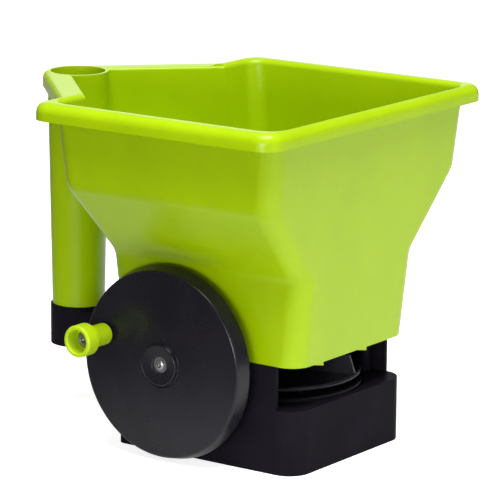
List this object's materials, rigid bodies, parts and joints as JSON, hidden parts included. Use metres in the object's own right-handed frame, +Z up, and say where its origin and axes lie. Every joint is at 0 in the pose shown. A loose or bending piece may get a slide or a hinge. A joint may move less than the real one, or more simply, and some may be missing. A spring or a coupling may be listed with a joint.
{
  "type": "hand-cranked garden spreader",
  "caption": "Hand-held spreader with an open hopper, a hollow grip tube, a crank wheel with a knob, and a geared spinner disc in a black base.",
  "frame": {"origin": "on the ground, in the middle of the base's underside, below the spinner shaft", "axes": "+Z up along the spinner shaft, -Y towards the throw opening, -X towards the crank wheel"},
  "size_m": [0.2326, 0.2568, 0.22],
  "materials": {
    "lime_plastic": "glossy",
    "lime_knob": "glossy",
    "black_satin": "satin",
    "black_gloss": "glossy",
    "nylon": "satin",
    "steel": "satin",
    "galvanised": "satin"
  },
  "bodies": {
    "frame": {"hopper": "lime_plastic", "outlet_plate": "black_satin", "shutter_guides": "black_satin", "base_housing": "black_satin", "bottom_plate": "black_satin", "gearbox_cover": "black_gloss", "wheel_axle": "steel", "hub_washer": "steel", "hub_screw": "steel", "layshaft_bushes": "nylon", "spinner_bushes": "nylon", "base_screws": "steel", "hopper_screws": "steel", "cover_screws": "steel", "handle_screw": "steel"},
    "crank": {"crank_wheel": "black_gloss", "knob_pin": "steel"},
    "grip_knob": {"knob": "lime_knob"},
    "cross_shaft": {"layshaft": "steel", "drive_pinion": "nylon", "bevel_pinion": "nylon"},
    "spinner": {"spinner_shaft": "steel", "driven_bevel": "nylon", "spinner_disc": "black_gloss", "agitator": "black_satin", "shaft_clips": "steel"},
    "shutter": {"shutter_plate": "galvanised", "shutter_tab": "lime_knob"}
  },
  "joints": [
    {"name": "crank_spin", "type": "hinge", "parent": "frame", "child": "crank", "pos_m": [-0.0797, 0.02639, 0.0612], "axis": [1, 0, 0], "continuous": true},
    {"name": "cross_shaft_spin", "type": "hinge", "parent": "frame", "child": "cross_shaft", "pos_m": [-0.04, 0, 0.0281], "axis": [1, 0, 0], "continuous": true},
    {"name": "spinner_spin", "type": "hinge", "parent": "frame", "child": "spinner", "pos_m": [0, 0, 0.049], "axis": [0, 0, 1], "continuous": true},
    {"name": "knob_spin", "type": "hinge", "parent": "crank", "child": "grip_knob", "pos_m": [-0.095, 0.06762, 0.07507], "axis": [1, 0, 0], "continuous": true},
    {"name": "shutter_slide", "type": "slide", "parent": "frame", "child": "shutter", "axis": [0, 1, 0], "range_m": [0, 0.024]}
  ],
  "couplings": [
    {"joint": "cross_shaft_spin", "follows": "crank_spin", "ratio": 6},
    {"joint": "spinner_spin", "follows": "crank_spin", "ratio": -6}
  ]
}
